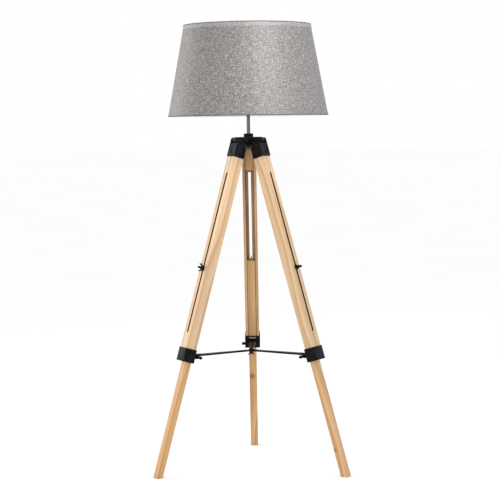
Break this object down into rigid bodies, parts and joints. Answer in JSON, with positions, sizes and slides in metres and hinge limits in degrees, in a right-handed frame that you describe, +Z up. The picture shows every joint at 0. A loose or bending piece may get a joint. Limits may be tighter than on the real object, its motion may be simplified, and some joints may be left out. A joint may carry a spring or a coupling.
{
  "type": "tripod floor lamp",
  "caption": "Wooden tripod floor lamp with telescopic legs, a black metal hub and spreader, and a tapered linen shade on a slim stem.",
  "frame": {"origin": "on the floor, at the middle of the footprint box of the whole lamp", "axes": "+Z up along the stem, +Y towards the back leg, +X to the right seen from the front"},
  "size_m": [0.5504, 0.5364, 1.2525],
  "materials": {
    "pine": "clear satin lacquered pine",
    "black_metal": "black powder coat",
    "polished_steel": "dark polished nickel",
    "black_plastic": "black moulded plastic",
    "bulb_metal": "rolled thread",
    "opal_glass": "opal",
    "grey_linen": "grey slub linen weave",
    "white_liner": "white styrene lining",
    "hoop_wire": "white coated wire"
  },
  "bodies": {
    "frame": {"hub": "black_metal", "stem_collar": "black_metal", "hub_lower_nut": "black_metal", "stem": "polished_steel", "cord_bush": "black_plastic", "holder_cap": "black_plastic", "holder_body": "black_plastic", "bulb_cap": "bulb_metal", "bulb_glass": "opal_glass", "shade_linen": "grey_linen", "shade_liner": "white_liner", "shade_top_hoop": "hoop_wire", "shade_lower_hoop": "hoop_wire", "shade_fitter": "hoop_wire", "spreader_screw": "black_metal", "spreader_washer": "black_metal", "upper_leg_back": "pine", "leg_cap_back": "black_metal", "hinge_pin_back": "black_metal", "cap_screw_back": "black_metal", "leg_collar_back": "black_metal", "bar_screw_back": "black_metal", "bar_nut_back": "black_metal", "spreader_bar_back": "black_metal", "upper_leg_left": "pine", "leg_cap_left": "black_metal", "hinge_pin_left": "black_metal", "cap_screw_left": "black_metal", "leg_collar_left": "black_metal", "bar_screw_left": "black_metal", "bar_nut_left": "black_metal", "spreader_bar_left": "black_metal", "upper_leg_right": "pine", "leg_cap_right": "black_metal", "hinge_pin_right": "black_metal", "cap_screw_right": "black_metal", "leg_collar_right": "black_metal", "bar_screw_right": "black_metal", "bar_nut_right": "black_metal", "spreader_bar_right": "black_metal"},
    "lower_leg_back": {"lower_leg_back": "pine", "lock_stud_back": "black_metal", "lock_washer_back": "black_metal"},
    "wing_nut_back": {"wing_nut_back": "black_metal"},
    "lower_leg_left": {"lower_leg_left": "pine", "lock_stud_left": "black_metal", "lock_washer_left": "black_metal"},
    "wing_nut_left": {"wing_nut_left": "black_metal"},
    "lower_leg_right": {"lower_leg_right": "pine", "lock_stud_right": "black_metal", "lock_washer_right": "black_metal"},
    "wing_nut_right": {"wing_nut_right": "black_metal"},
    "spreader_wing_nut": {"spreader_wing_nut": "black_metal"},
    "shade_ring": {"shade_ring": "black_plastic"}
  },
  "joints": [
    {"name": "leg_slide_back", "type": "slide", "parent": "frame", "child": "lower_leg_back", "axis": [0, 0.2865, -0.9581], "range_m": [-0.268, 0.172]},
    {"name": "wing_nut_turn_back", "type": "hinge", "parent": "lower_leg_back", "child": "wing_nut_back", "pos_m": [0, 0.10828, 0.57666], "axis": [0, 0.9581, 0.2865], "continuous": true},
    {"name": "leg_slide_left", "type": "slide", "parent": "frame", "child": "lower_leg_left", "axis": [-0.2481, -0.1433, -0.9581], "range_m": [-0.268, 0.172]},
    {"name": "wing_nut_turn_left", "type": "hinge", "parent": "lower_leg_left", "child": "wing_nut_left", "pos_m": [-0.13119, -0.11895, 0.57666], "axis": [-0.8297, -0.479, 0.2865], "continuous": true},
    {"name": "leg_slide_right", "type": "slide", "parent": "frame", "child": "lower_leg_right", "axis": [0.2481, -0.1433, -0.9581], "range_m": [-0.268, 0.172]},
    {"name": "wing_nut_turn_right", "type": "hinge", "parent": "lower_leg_right", "child": "wing_nut_right", "pos_m": [0.13119, -0.11895, 0.57666], "axis": [0.8297, -0.479, 0.2865], "continuous": true},
    {"name": "spreader_nut_turn", "type": "hinge", "parent": "frame", "child": "spreader_wing_nut", "pos_m": [0, -0.04321, 0.3241], "axis": [0, 0, 1], "continuous": true},
    {"name": "shade_ring_turn", "type": "hinge", "parent": "frame", "child": "shade_ring", "pos_m": [0, -0.04321, 1.0673], "axis": [0, 0, 1], "continuous": true}
  ]
}
